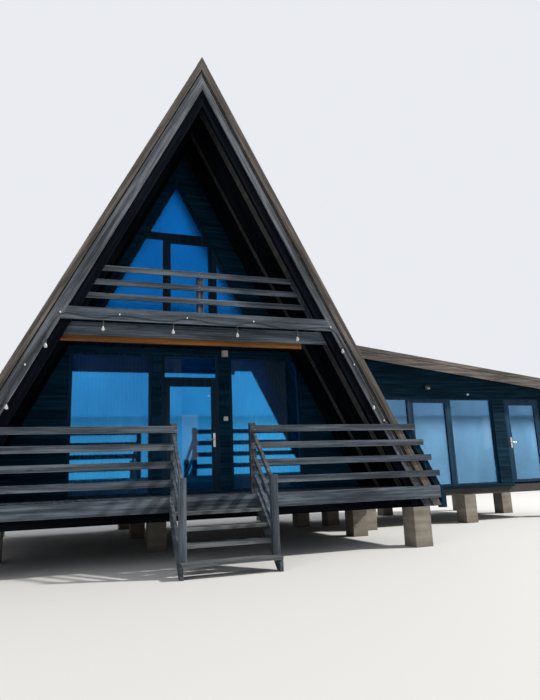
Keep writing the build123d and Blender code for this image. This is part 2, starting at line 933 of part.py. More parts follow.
def wing_end_wall():
    y = (wing_wall_y + wing_wall, wing_wall_y + wing_depth)
    x = (wing_end_x - wing_wall, wing_end_x)
    wall = wing_front_under(x, wing_floor_top, y)
    return wall - box(x, side_window_y(), wing_side_window_z)


def side_window_y():
    middle = wing_wall_y + wing_depth / 2
    return (middle - wing_side_window / 2, middle + wing_side_window / 2)


def wing_rear_wall():
    y = (wing_wall_y + wing_depth - wing_wall, wing_wall_y + wing_depth)
    low = half_width(wing_floor_top)
    x_end = wing_end_x - wing_wall
    outline = [
        (low, wing_floor_top), (x_end, wing_floor_top),
        (x_end, wing_top(x_end) - wing_roof_thickness), wing_meets_roof(wing_roof_thickness),
    ]
    return panel(outline, y) - box(rear_wing_window_x(), y, wing_side_window_z)


def rear_wing_window_x():
    middle = (half_width(wing_floor_top) + wing_end_x) / 2
    return (middle - wing_side_window / 2, middle + wing_side_window / 2)


def wing_windows():
    """The long front window in three lights, and the hidden walls' windows."""
    y = frame_y(wing_wall_y, wing_wall)
    middle = (y[0] + y[1]) / 2
    z = (wing_floor_top, wing_head_z)
    frame = box(wing_window_x, y, z)
    panes = []
    start = wing_window_x[0]
    for i, width in enumerate(wing_light_widths):
        bar = wing_sash_bar if i == 1 else wing_pane_bar
        light = (start + bar, start + width - bar)
        hole_z = (wing_window_bottom, wing_head_z - bar)
        frame = frame - box(light, y, hole_z)
        panes.append(pane_box(light, middle, hole_z))
        start += width + (wing_mullion_widths + (0,))[i]
    rear_frame, rear_pane = framed(
        rear_wing_window_x(), wing_side_window_z, frame_y(wing_wall_y + wing_depth - wing_wall, wing_wall), frame_bar)
    x = (wing_end_x - wing_wall + 25, wing_end_x - wing_wall + 25 + frame_depth)
    wide, high = side_window_y(), wing_side_window_z
    hole_y = (wide[0] + frame_bar, wide[1] - frame_bar)
    hole_z = (high[0] + frame_bar, high[1] - frame_bar)
    end_frame = box(x, wide, high) - box(x, hole_y, hole_z)
    end_middle = (x[0] + x[1]) / 2
    end_pane = box((end_middle - glass_thickness / 2, end_middle + glass_thickness / 2),
                   (hole_y[0] + glass_gap, hole_y[1] - glass_gap), (hole_z[0] + glass_gap, hole_z[1] - glass_gap))
    return group([frame, rear_frame, end_frame]), group(panes + [rear_pane, end_pane])


def wing_floor():
    bottom = wing_floor_top - floor_thickness
    x = (half_width(bottom), wing_end_x)
    return box(x, (wing_wall_y, wing_wall_y + wing_depth), (bottom, wing_floor_top))


def wing_beams():
    z = (pier_top, wing_floor_top - floor_thickness)
    start = half_width(pier_top) + 60
    return group(
        box((start, wing_end_x), (y, y + beam_width), z)
        for y in wing_beam_rows()
    )


def wing_beam_rows():
    last = wing_wall_y + wing_depth - beam_width - 10
    return (wing_wall_y + 10, (wing_wall_y + last) / 2, last)


def wing_piers():
    first = half_width(pier_top) + 60 + pier_width
    last = wing_end_x - pier_width / 2
    solids = []
    for y in wing_beam_rows():
        for i in range(3):
            x = first + (last - first) * i / 2
            start = y + beam_width / 2 - pier_depth / 2
            solids.append(box((x - pier_width / 2, x + pier_width / 2), (start, start + pier_depth), (0, pier_top)))
    return group(solids)


def wing_sill():
    z = (wing_floor_top - wing_sill_height, wing_floor_top - 2)
    return box((wing_window_x[0] - 60, wing_door_x[0] - 5), (wing_wall_y - wing_sill_proud, wing_wall_y), z)


def main():
    rear = (cabin_length, cabin_length + board)
    front = (0, board)
    front_trim = (rail_back_y, board)
    rear_trim = (cabin_length, cabin_length + board + trim_proud)
    window_frames, window_glass = front_windows()
    glazing_frame, glazing_glass = gable_glazing()
    rear_frames, rear_glass = rear_windows()
    wing_frames, wing_glass = wing_windows()
    wing_trim, wing_barges = wing_verge_boards()
    door_frame, transom_glass, leaf, leaf_glass, handle = door_set(
        door_frame_x, wall_front_y, wall_thickness, floor_top, leaf_top_z, head_z, -1, True)
    wing_door_frame, _, wing_leaf, wing_leaf_glass, wing_handle = door_set(
        wing_door_x, wing_wall_y, wing_wall, wing_floor_top, wing_leaf_top_z, wing_head_z, 1, False)
    left_near = trim_left_width + groove_left
    right_near = trim_right_width + groove_right
    left_curtain_x = (left_window_x[0] + 20, left_window_x[1] - 20)
    right_curtain_x = (right_window_x[0] + 20, curtain_end() - 20)
    door_curtain_x = (door_frame_x[0] + 20, door_frame_x[0] + 20 + door_curtain_width)
    pieces = {
        "concrete_piers": piers(),
        "side_sills": side_sills(),
        "cross_beams": cross_beams(),
        "deck_floor": floor_slab((rail_back_y, wall_front_y)),
        "cabin_floor": floor_slab((wall_front_y, cabin_length)),
        "deck_rim": rim(),
        "deck_rails": deck_rails(),
        "deck_posts": deck_posts(),
        "rail_end_posts": end_posts(),
        "stair_stringers": stringers(),
        "stair_treads": stair_treads(),
        "stair_posts": stair_posts(),
        "stair_rails": stair_rails(),
        "roof_left": roof(-1),
        "roof_right": roof(1),
        "rafters": rafters(),
        "ridge_cap": ridge_cap(),
        "verge_trim": group([
            verge(-1, trim_left_width, front_trim), verge(1, trim_right_width, front_trim),
            verge(-1, trim_left_width, rear_trim), verge(1, trim_left_width, rear_trim)]),
        "barge_boards": group([
            barge(-1, left_near, front), barge(1, right_near, front),
            barge(-1, left_near, rear), barge(1, left_near, rear)]),
        "front_wall_left": front_wall_left(),
        "front_wall_right": front_wall_right(),
        "front_wall_posts": front_wall_posts(),
        "front_wall_head": between_slopes((head_z, upper_floor_z[0]), roof_thickness, (wall_front_y, wall_back_y)),
        "window_frames": group(window_frames.solids() + rear_frames.solids()),
        "window_glass": group(window_glass.solids() + rear_glass.solids() + [transom_glass]),
        "door_frame": door_frame,
        "door_leaf": leaf,
        "door_glass": leaf_glass,
        "door_handle": handle,
        "gable_wall": gable_wall(),
        "gable_frame": glazing_frame,
        "gable_glass": glazing_glass,
        "upper_floor": upper_floor((wall_front_y + wall_thickness / 2, cabin_length)),
        "balcony_floor": upper_floor((board, wall_front_y + wall_thickness / 2)),
        "balcony_rim": balcony_rim(),
        "balcony_rails": balcony_rails(),
        "balcony_post": group([balcony_post_piece()] + balcony_cleats().solids()),
        "soffit_beam": soffit_beam(),
        "rear_wall": rear_wall(),
        "curtains": group([
            curtain(left_curtain_x, (floor_top + 15, curtain_top_z)),
            curtain(door_curtain_x, (floor_top + 15, curtain_top_z)),
            curtain(right_curtain_x, (floor_top + 15, curtain_top_z))]),
        "curtain_rods": curtain_rods(),
        "string_cable": string_cable(),
        "string_holders": string_holders(),
        "string_bulbs": string_bulbs(),
        "porch_lamp": group([lamp(), switch_box(), lamp_conduit()]),
        "wing_supports": group(wing_piers().solids() + wing_beams().solids()),
        "wing_floor": wing_floor(),
        "wing_roof": group([wing_roof()] + wing_rafters().solids()),
        "wing_trim": group(wing_trim.solids() + wing_barges.solids()),
        "wing_front_wall": group([wing_wall_left(), wing_wall_head()] + wing_wall_panels().solids() + [wing_sill()]),
        "wing_other_walls": group([wing_end_wall(), wing_rear_wall()]),
        "wing_frames": group(wing_frames.solids() + [wing_door_frame]),
        "wing_glass": wing_glass,
        "wing_door_leaf": wing_leaf,
        "wing_door_glass": wing_leaf_glass,
        "wing_door_handle": wing_handle,
    }
    boxes = [shape.bounding_box() for shape in pieces.values()]
    low_x, high_x = min(b.min.X for b in boxes), max(b.max.X for b in boxes)
    low_y, high_y = min(b.min.Y for b in boxes), max(b.max.Y for b in boxes)
    centre = ((low_x + high_x) / 2, (low_y + high_y) / 2)
    print("centre", centre, "size", high_x - low_x, high_y - low_y, "pieces", len(pieces))
    os.makedirs("parts", exist_ok=True)
    for name, shape in pieces.items():
        export_step(Pos(-centre[0], -centre[1], 0) * shape, f"parts/{name}.step")


main()
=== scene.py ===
"""Dresses the A-frame cabin: materials, cladding, roof covering, floors, curtains, lights and fittings.

Everything is in metres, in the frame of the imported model. X runs along the gable front, Y runs back
into the cabin and Z is up.
"""

import math
from random import Random

import bmesh
import bpy
from mathutils import Matrix, Vector


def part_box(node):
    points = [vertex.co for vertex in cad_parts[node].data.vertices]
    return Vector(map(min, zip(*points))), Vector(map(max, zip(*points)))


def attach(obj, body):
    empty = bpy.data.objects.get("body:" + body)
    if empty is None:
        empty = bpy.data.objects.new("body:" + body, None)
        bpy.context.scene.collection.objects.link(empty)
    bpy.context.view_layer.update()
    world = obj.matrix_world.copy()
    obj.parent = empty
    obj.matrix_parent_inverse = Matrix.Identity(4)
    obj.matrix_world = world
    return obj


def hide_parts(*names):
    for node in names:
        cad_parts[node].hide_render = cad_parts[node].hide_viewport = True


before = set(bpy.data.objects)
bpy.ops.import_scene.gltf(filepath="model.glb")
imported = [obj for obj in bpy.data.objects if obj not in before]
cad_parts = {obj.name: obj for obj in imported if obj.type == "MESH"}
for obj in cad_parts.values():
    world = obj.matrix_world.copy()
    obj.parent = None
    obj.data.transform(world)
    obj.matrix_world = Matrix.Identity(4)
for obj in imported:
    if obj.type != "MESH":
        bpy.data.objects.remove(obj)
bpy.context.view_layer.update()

# Places read from the frame. The pitch and the wing's wall thickness are those of the source.
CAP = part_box("ridge_cap")
AXIS_X = (CAP[0][0] + CAP[1][0]) / 2
FACE_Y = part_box("balcony_rim")[0][1]
APEX_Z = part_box("roof_left")[1][2]
PITCH = math.radians(62.8)
WALL_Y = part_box("front_wall_left")[0][1]
WALL_BACK_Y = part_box("front_wall_left")[1][1]
WING_WALL = 0.14
WING_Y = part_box("wing_other_walls")[0][1] - WING_WALL
PIER_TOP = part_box("concrete_piers")[1][2]

# Roof covering: the height of a course and how far it reaches under the one above, the width of a tab and
# the gap beside it, and how far its head and its foot stand off the roof
SHINGLE_COURSE = 0.145
COURSE_LAP = 0.03
SHINGLE_TAB = 0.335
TAB_GAP = 0.003
NARROWEST_TAB = 0.02
SHINGLE_HEAD = 0.002
SHINGLE_LIFT = 0.009
ROOF_START_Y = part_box("roof_left")[0][1]
ROOF_END_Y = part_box("roof_left")[1][1]
SLOPE_LENGTH = (APEX_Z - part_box("roof_left")[0][2]) / math.sin(PITCH)
COURSES = round(SLOPE_LENGTH / SHINGLE_COURSE)
COURSE_STEP = SLOPE_LENGTH / COURSES

# Camera, from the photograph's straight edges
EYE = Vector((AXIS_X - 1.965, FACE_Y - 8.459, 1.1505))
YAW, TILT, ROLL = 0.3382, 0.2157, -0.0398
FOCAL_PIXELS = 587.59
PHOTO_HEIGHT = 700
SENSOR = 36.0


def add_camera():
    """The camera that sees the cabin from the photograph's side."""
    forward = Vector((math.sin(YAW) * math.cos(TILT), math.cos(YAW) * math.cos(TILT), math.sin(TILT)))
    right = Vector((math.cos(YAW), -math.sin(YAW), 0))
    up = right.cross(forward)
    rolled_right = right * math.cos(ROLL) + up * math.sin(ROLL)
    rolled_up = up * math.cos(ROLL) - right * math.sin(ROLL)
    data = bpy.data.cameras.new("camera")
    data.sensor_width = SENSOR
    data.lens = FOCAL_PIXELS / PHOTO_HEIGHT * SENSOR
    data.clip_end = 200
    camera = bpy.data.objects.new("camera", data)
    bpy.context.collection.objects.link(camera)
    camera.matrix_world = Matrix((
        (rolled_right.x, rolled_up.x, -forward.x, EYE.x),
        (rolled_right.y, rolled_up.y, -forward.y, EYE.y),
        (rolled_right.z, rolled_up.z, -forward.z, EYE.z),
        (0, 0, 0, 1),
    ))
    bpy.context.scene.camera = camera


class Shader:
    """A material under construction: a Principled shader and the nodes that feed it."""

    def __init__(self, name, roughness=0.6, metallic=0.0):
        self.material = bpy.data.materials.new(name)
        self.material.use_nodes = True
        self.nodes = self.material.node_tree.nodes
        self.links = self.material.node_tree.links
        self.surface = self.nodes["Principled BSDF"]
        self.surface.inputs["Roughness"].default_value = roughness
        self.surface.inputs["Metallic"].default_value = metallic

    def add(self, kind, links=None, values=None, **settings):
        """A new node: links are the sockets that feed its inputs, values the inputs' constants."""
        node = self.nodes.new("ShaderNode" + kind)
        for key, value in settings.items():
            setattr(node, key, value)
        for key, value in (values or {}).items():
            node.inputs[key].default_value = value
        for key, socket in (links or {}).items():
            self.links.new(socket, node.inputs[key])
        return node

    def math(self, operation, *terms):
        """The result of a Math node on numbers and sockets."""
        node = self.add("Math", operation=operation)
        for slot, term in enumerate(terms):
            if isinstance(term, (int, float)):
                node.inputs[slot].default_value = term
            else:
                self.links.new(term, node.inputs[slot])
        return node.outputs[0]

    def position(self):
        """The place on the object, in metres."""
        return self.add("TexCoord").outputs["Object"]

    def split(self, vector):
        """The X, Y and Z sockets of a vector."""
        return self.add("SeparateXYZ", {"Vector": vector}).outputs

    def join(self, x, y, z):
        """A vector from three sockets."""
        return self.add("CombineXYZ", {"X": x, "Y": y, "Z": z}).outputs[0]

    def scaled(self, vector, scale):
        """A vector with each of its axes scaled."""
        return self.add("Mapping", {"Vector": vector}, {"Scale": scale}).outputs[0]

    def noise(self, vector, scale, detail=4.0, roughness=0.55):
        """Noise between 0 and 1."""
        values = {"Scale": scale, "Detail": detail, "Roughness": roughness}
        return self.add("TexNoise", {"Vector": vector}, values).outputs["Fac"]

    def ramp(self, factor, stops):
        """Colours at places between 0 and 1."""
        node = self.add("ValToRGB", {"Fac": factor})
        ramp = node.color_ramp
        while len(ramp.elements) < len(stops):
            ramp.elements.new(0.5)
        for element, (place, colour) in zip(ramp.elements, stops):
            element.position = place
            element.color = (*colour, 1)
        return node.outputs["Color"]

    def mix(self, factor, first, second, blend="MIX"):
        """Two colours mixed. A Mix node's colour sockets are its inputs 6 and 7 and its output 2."""
        node = self.add("Mix", data_type="RGBA", blend_type=blend)
        for slot, value in ((0, factor), (6, first), (7, second)):
            if isinstance(value, (int, float)):
                node.inputs[slot].default_value = value
            elif isinstance(value, tuple):
                node.inputs[slot].default_value = (*value, 1)
            else:
                self.links.new(value, node.inputs[slot])
        return node.outputs[2]

    def colour(self, socket):
        """Feeds the surface's colour."""
        self.links.new(socket, self.surface.inputs["Base Color"])

    def bump(self, height, distance, strength=1.0):
        """Feeds the surface's relief: distance is how high it stands, in metres."""
        values = {"Distance": distance, "Strength": strength}
        node = self.add("Bump", {"Height": height}, values)
        self.links.new(node.outputs[0], self.surface.inputs["Normal"])

    def rough(self, factor, low, high):
        """Feeds the surface's roughness, from low to high along a factor."""
        node = self.add("MapRange", {"Value": factor}, {"To Min": low, "To Max": high})
        self.links.new(node.outputs[0], self.surface.inputs["Roughness"])


def grain_position(shader, along):
    """Object coordinates turned so that X runs along the grain. "slope" follows either roof slope."""
    x, y, z = shader.split(shader.position())
    if along == "x":
        return shader.join(x, y, z)
    if along == "y":
        return shader.join(y, x, z)
    if along == "z":
        return shader.join(z, x, y)
    side = shader.math("ABSOLUTE", shader.math("SUBTRACT", x, AXIS_X))
    down = shader.math("SUBTRACT", shader.math("MULTIPLY", side, math.cos(PITCH)),
                       shader.math("MULTIPLY", z, math.sin(PITCH)))
    out = shader.math("ADD", shader.math("MULTIPLY", side, math.sin(PITCH)),
                      shader.math("MULTIPLY", z, math.cos(PITCH)))
    return shader.join(down, out, y)


# The radius of the paler band along edges, partly wear and partly a painted highlight, and the relief of the
# grain
PALE_EDGE_RADIUS = 0.007
GRAIN_RELIEF = 0.0022


def edge_wear_and_highlight(shader):
    """1 along sharp edges, 0 on flat faces: where a rounded normal leaves the true one. It marks the paler
    edges, which are partly wear and partly a painted highlight.
    """
    rounded = shader.add("Bevel", values={"Radius": PALE_EDGE_RADIUS}, samples=4).outputs[0]
    plain = shader.add("NewGeometry").outputs["Normal"]
    cosine = shader.add("VectorMath", {0: rounded, 1: plain}, operation="DOT_PRODUCT").outputs["Value"]
    return shader.add("MapRange", {"Value": cosine}, {"From Min": 0.995, "From Max": 0.80}).outputs[0]


def wood(name, along, dark, middle, light, roughness=0.75, weather=0.5, pale_edge_strength=0.5, sheen=0.2):
    """Sawn timber: long fibres, streaks where the stain has worn, knots, and paler edges that are partly
    wear and partly a painted highlight.
    """
    shader = Shader(name, roughness)
    shader.surface.inputs["Specular IOR Level"].default_value = sheen
    place = grain_position(shader, along)
    fibres = shader.noise(shader.scaled(place, (1.6, 42, 42)), 2.2, 7, 0.65)
    streaks = shader.noise(shader.scaled(place, (0.45, 11, 11)), 1.7, 5, 0.6)
    stains = shader.noise(shader.scaled(place, (0.6, 2.2, 2.2)), 1.1, 6, 0.65)
    base = shader.ramp(fibres, [(0.34, dark), (0.52, middle), (0.70, light)])
    faded = shader.mix(0.62, base, shader.ramp(streaks, [(0.38, dark), (0.50, middle), (0.64, light)]))
    worn = shader.ramp(stains, [(0.38, (0.18, 0.18, 0.18)), (0.62, (0.78, 0.78, 0.78))])
    colour = shader.mix(weather, faded, worn, "OVERLAY")
    knots = shader.add("TexVoronoi", {"Vector": shader.scaled(place, (1.1, 5.5, 5.5))}, {"Scale": 1.0})
    knot = shader.ramp(knots.outputs["Distance"], [(0.035, (0, 0, 0)), (0.075, (1, 1, 1))])
    colour = shader.mix(0.6, colour, knot, "MULTIPLY")
    # Paler along every sharp edge: partly wear, partly a painted highlight on the arrises
    edge = shader.math("MULTIPLY", edge_wear_and_highlight(shader), shader.math("MULTIPLY", fibres, pale_edge_strength * 1.6))
    colour = shader.mix(edge, colour, tuple(min(c * 2.2 + 0.01, 1.0) for c in light))
    shader.colour(colour)
    shader.rough(fibres, roughness - 0.12, min(roughness + 0.15, 1.0))
    shader.bump(shader.math("ADD", fibres, shader.math("MULTIPLY", streaks, 0.5)), GRAIN_RELIEF, 0.8)
    return shader.material


# How high the concrete grows darker towards the bottom
DARKER_FOOT_HEIGHT = 0.16


def cast_concrete(name):
    """A shader with cast concrete's pores, and the colour that goes with them."""
    shader = Shader(name, 0.88)
    place = shader.position()
    mottled = shader.noise(place, 3.2, 8, 0.65)
    grit = shader.noise(place, 90, 4, 0.7)
    lift = shader.noise(shader.scaled(place, (0.4, 0.4, 6)), 1.6, 3)
    colour = shader.ramp(mottled, [
        (0.30, (0.145, 0.125, 0.098)),
        (0.55, (0.235, 0.21, 0.172)),
        (0.78, (0.33, 0.30, 0.25)),
    ])
    lifts = shader.ramp(lift, [(0.35, (0.12, 0.10, 0.08)), (0.65, (0.34, 0.31, 0.27))])
    colour = shader.mix(0.35, colour, lifts)
    values = {"From Min": 0.0, "From Max": DARKER_FOOT_HEIGHT, "To Min": 0.5, "To Max": 0.0}
    darker_foot = shader.add("MapRange", {"Value": shader.split(place)["Z"]}, values).outputs[0]
    colour = shader.mix(darker_foot, colour, (0.07, 0.058, 0.045))
    pores = shader.add("TexVoronoi", {"Vector": place}, {"Scale": 42.0})
    height = shader.math("ADD", shader.math("MULTIPLY", grit, 0.4), pores.outputs["Distance"])
    shader.bump(height, 0.003, 0.7)
    return shader, colour


def concrete(name):
    """Cast concrete, darker near the ground."""
    shader, colour = cast_concrete(name)
    shader.colour(colour)
    return shader.material


def support(name):
    """Concrete up to the pier tops and stained timber above them."""
    shader, stone = cast_concrete(name)
    place = shader.position()
    above = shader.math("GREATER_THAN", shader.split(place)["Z"], PIER_TOP)
    grain = shader.noise(place, 22.0, 2.0, 0.5)
    timber = shader.ramp(grain, [(0.0, (0.010, 0.011, 0.013)), (1.0, (0.060, 0.058, 0.056))])
    shader.colour(shader.mix(above, stone, timber))
    return shader.material


def painted(name, colour, roughness=0.4, metallic=0.0, speck=0.12):
    """A smooth painted, moulded or metal surface with a faint unevenness."""
    shader = Shader(name, roughness, metallic)
    place = shader.position()
    cloud = shader.noise(place, 5.0, 4)
    lower = tuple(c * (1 - speck) for c in colour)
    upper = tuple(min(c * (1 + speck), 1) for c in colour)
    shader.colour(shader.ramp(cloud, [(0.35, lower), (0.65, upper)]))
    shader.rough(cloud, roughness - 0.08, roughness + 0.10)
    shader.bump(shader.noise(place, 260, 2), 0.0004, 0.4)
    return shader.material


# The share of the light that a pane's coating gives back, and how far its panes lean
GLASS_COVER = 0.54
WINDOW_LEAN = (-0.004, 0.0, -0.075)
GABLE_LEAN = (-0.055, 0.0, -0.14)


def window_glass(name, tint, lean, gloss):
    """Glazing as a blue-tinted mirror that stays clear enough to show the curtains behind it: the mirroring
    comes from the shader, the blue is a painted reflection of sky.

    Panes never stand quite true, so lean turns their reflections by a few degrees.
    """
    shader = Shader(name, gloss, 0.9)
    place = shader.position()
    tint_variation = shader.noise(shader.scaled(place, (0.9, 0.9, 0.5)), 1.1, 3, 0.5)
    lower = tuple(c * 0.82 for c in tint)
    upper = tuple(min(c * 1.15, 1.0) for c in tint)
    shader.colour(shader.ramp(tint_variation, [(0.35, lower), (0.65, upper)]))
    shader.rough(shader.noise(place, 7, 4), gloss, gloss + 0.03)
    shader.surface.inputs["Alpha"].default_value = GLASS_COVER
    normal = shader.add("NewGeometry").outputs["Normal"]
    leaning = shader.add("VectorMath", {0: normal}, {1: lean}, operation="ADD").outputs[0]
    true = shader.add("VectorMath", {0: leaning}, operation="NORMALIZE").outputs[0]
    values = {"Distance": 0.0012, "Strength": 0.25}
    ripple = shader.add("Bump", {"Height": shader.noise(place, 1.4, 1), "Normal": true}, values)
    shader.links.new(ripple.outputs[0], shader.surface.inputs["Normal"])
    return shader.material


# The angle that the weave turns through in a metre
THREADS = 2600


def cloth(name, colour):
    """Plain woven curtain cloth."""
    shader = Shader(name, 0.92)
    place = shader.position()
    ways = shader.split(place)
    weft, warp = (shader.math("SINE", shader.math("MULTIPLY", ways[way], THREADS)) for way in "XZ")
    tone = shader.noise(shader.scaled(place, (3, 3, 0.4)), 2.5, 3)
    shader.colour(shader.ramp(tone, [(0.3, tuple(c * 0.82 for c in colour)), (0.7, colour)]))
    shader.surface.inputs["Sheen Weight"].default_value = 0.25
    shader.bump(shader.math("MULTIPLY", weft, warp), 0.0006, 0.35)
    return shader.material


def gritted(shader, colour, share):
    """Mineral grit over a colour, with its relief."""
    grit = shader.noise(shader.position(), 320, 3, 0.8)
    grains = shader.ramp(grit, [(0.42, (0.015, 0.015, 0.016)), (0.62, (0.16, 0.16, 0.16))])
    shader.colour(shader.mix(share, colour, grains))
    shader.bump(grit, 0.0015, 0.8)


def felt(name):
    """Roofing felt with weathered patches."""
    shader = Shader(name, 0.93)
    patches = shader.noise(shader.scaled(shader.position(), (1.2, 0.5, 1.2)), 1.4, 6, 0.6)
    colour = shader.ramp(patches, [(0.35, (0.040, 0.041, 0.043)), (0.65, (0.082, 0.080, 0.078))])
    gritted(shader, colour, 0.35)
    return shader.material


def shingle_material(name):
    """Mineral shingles: each tab has its own tone, with painted shade under the tab above, along each tab's
    foot and in the slots.
    """
    shader = Shader(name, 0.93)
    place = shader.position()
    slope = shader.split(grain_position(shader, "slope"))
    down = shader.math("ADD", slope["X"], APEX_Z * math.sin(PITCH))
    course = shader.math("DIVIDE", down, COURSE_STEP)
    row = shader.math("FLOOR", course)
    stagger = shader.math("MULTIPLY", shader.math("MODULO", row, 2.0), 0.5)
    along = shader.math("DIVIDE", shader.math("SUBTRACT", slope["Z"], ROOF_START_Y), SHINGLE_TAB)
    across = shader.math("ADD", along, stagger)
    tab = shader.math("FLOOR", across)
    side = shader.math("SIGN", shader.math("SUBTRACT", shader.split(place)["X"], AXIS_X))
    tone = shader.add("TexWhiteNoise", {"Vector": shader.join(row, tab, side)}).outputs["Value"]
    colour = shader.ramp(tone, [
        (0.0, (0.026, 0.027, 0.031)),
        (0.45, (0.050, 0.050, 0.054)),
        (0.80, (0.072, 0.070, 0.070)),
        (1.0, (0.115, 0.108, 0.102)),
    ])
    # Painted shade: dark just under the tab above and along each tab's foot
    height = shader.math("SUBTRACT", course, row)
    painted_course_shade = shader.ramp(height, [
        (0.03, (0.30, 0.30, 0.30)),
        (0.16, (1, 1, 1)),
        (0.90, (1, 1, 1)),
        (0.99, (0.55, 0.55, 0.55)),
    ])
    # Painted shade in the slots between the tabs
    from_middle = shader.math("ABSOLUTE", shader.math("SUBTRACT", shader.math("SUBTRACT", across, tab), 0.5))
    gap = shader.ramp(from_middle, [(0.465, (1, 1, 1)), (0.49, (0.25, 0.25, 0.25))])
    colour = shader.mix(1.0, shader.mix(1.0, colour, painted_course_shade, "MULTIPLY"), gap, "MULTIPLY")
    weather = shader.noise(place, 0.7, 5)
    faded = shader.ramp(weather, [(0.35, (0.035, 0.036, 0.038)), (0.65, (0.085, 0.084, 0.080))])
    gritted(shader, shader.mix(0.4, colour, faded), 0.25)
    return shader.material


def clear_bulb(name):
    """Clear glass of the string lights' bulbs."""
    shader = Shader(name, 0.04)
    tint = shader.noise(shader.position(), 30, 2)
    shader.colour(shader.ramp(tint, [(0.3, (0.86, 0.88, 0.90)), (0.7, (0.96, 0.96, 0.95))]))
    shader.surface.inputs["Transmission Weight"].default_value = 0.6
    shader.surface.inputs["IOR"].default_value = 1.3
    return shader.material


# Stains and weathered timbers, each from its darkest to its lightest tone; some carry painted light or
# shade, as noted beside them
GREY = ((0.011, 0.017, 0.025), (0.049, 0.064, 0.083), (0.142, 0.166, 0.196))
# The rails' weathered grey painted lighter for the barge boards: painted sunlight on their faces
BARGE_GREY_PAINTED_SUNLIGHT = ((0.015, 0.020, 0.027), (0.078, 0.090, 0.108), (0.200, 0.214, 0.238))
TREAD_GREY = ((0.028, 0.034, 0.039), (0.110, 0.126, 0.134), (0.225, 0.245, 0.255))
BROWN_GREY = ((0.022, 0.020, 0.019), (0.092, 0.080, 0.072), (0.190, 0.168, 0.150))
BLUE_BLACK = ((0.0008, 0.006, 0.012), (0.0020, 0.015, 0.030), (0.008, 0.040, 0.070))
# The same blue-black stain as BLUE_BLACK, painted lighter and bluer on the porch walls: painted skylight in
# the porch's shade
PORCH_BLUE_PAINTED_SKYLIGHT = ((0.0010, 0.010, 0.022), (0.0028, 0.030, 0.066), (0.010, 0.070, 0.130))
FRAME_BLUE = ((0.0012, 0.010, 0.022), (0.0035, 0.024, 0.056), (0.010, 0.056, 0.120))
# The rafters', beams' and floors' dark stain, painted near black: painted shade of the spaces under the roof
# and the deck
DARK_STAIN_AND_PAINTED_SHADE = ((0.0006, 0.0012, 0.0030), (0.0018, 0.0030, 0.0058), (0.0060, 0.0080, 0.0120))
ORANGE = ((0.042, 0.014, 0.0012), (0.100, 0.035, 0.0038), (0.190, 0.074, 0.009))

materials = {
    "grey_x": wood("grey_boards_x", "x", *GREY),
    "grey_y": wood("grey_boards_y", "y", *GREY),
    "grey_z": wood("grey_posts", "z", *GREY),
    "grey_slope": wood("barge_wood", "slope", *BARGE_GREY_PAINTED_SUNLIGHT),
    "tread": wood("tread_wood", "x", *TREAD_GREY),
    "trim_slope": wood("trim_wood", "slope", *BROWN_GREY),
    "trim_x": wood("wing_trim_wood", "x", *BROWN_GREY),
    "porch_painted_light_x": wood("porch_cladding_painted_light", "x", *PORCH_BLUE_PAINTED_SKYLIGHT, roughness=0.7, weather=0.3, sheen=0.05),
    "dark_x": wood("dark_cladding", "x", *BLUE_BLACK, roughness=0.7, weather=0.3, sheen=0.05),
    "dark_y": wood("dark_cladding_side", "y", *BLUE_BLACK, roughness=0.7, weather=0.3, sheen=0.05),
    "dark_z": wood("dark_posts", "z", *BLUE_BLACK, roughness=0.7, weather=0.3, sheen=0.05),
    "rafter": wood("rafter_wood", "slope", *DARK_STAIN_AND_PAINTED_SHADE, sheen=0.03),
    "beam_x": wood("beam_wood_x", "x", *DARK_STAIN_AND_PAINTED_SHADE, sheen=0.03),
    "beam_y": wood("beam_wood_y", "y", *DARK_STAIN_AND_PAINTED_SHADE, sheen=0.03),
    "orange": wood("orange_wood", "x", *ORANGE, roughness=0.55, weather=0.2),
    "frame": wood("frame_paint", "z", *FRAME_BLUE, roughness=0.5, weather=0.2, sheen=0.15),
    "concrete": concrete("concrete"),
    # Each pane's blue tint is a painted reflection of sky; the shader's mirror gives the real reflections
    "glass": window_glass("window_glass", (0.035, 0.40, 0.96), WINDOW_LEAN, 0.02),
    "wing_glass": window_glass("wing_glass_blue", (0.16, 0.37, 0.62), WINDOW_LEAN, 0.02),
    "gable_glass": window_glass("gable_glass_blue", (0.004, 0.23, 0.76), GABLE_LEAN, 0.16),
    "support": support("wing_support"),
    "cap": painted("cap_metal", (0.055, 0.057, 0.060), 0.45, 0.6),
    "steel": painted("handle_steel", (0.62, 0.62, 0.60), 0.28, 1.0, 0.05),
    "zinc": painted("bolt_zinc", (0.42, 0.42, 0.42), 0.45, 1.0, 0.1),
    "white": painted("white_plastic", (0.72, 0.70, 0.66), 0.5, 0.0, 0.06),
    "black": painted("black_rubber", (0.012, 0.012, 0.013), 0.55, 0.0, 0.2),
    "cloth": cloth("curtain_cloth", (0.80, 0.76, 0.62)),
    "shingle": shingle_material("roof_shingles"),
    "felt": felt("roof_felt"),
    "bulb": clear_bulb("bulb_glass"),
    "lens": painted("lamp_lens", (0.34, 0.31, 0.27), 0.35, 0.0, 0.05),
}

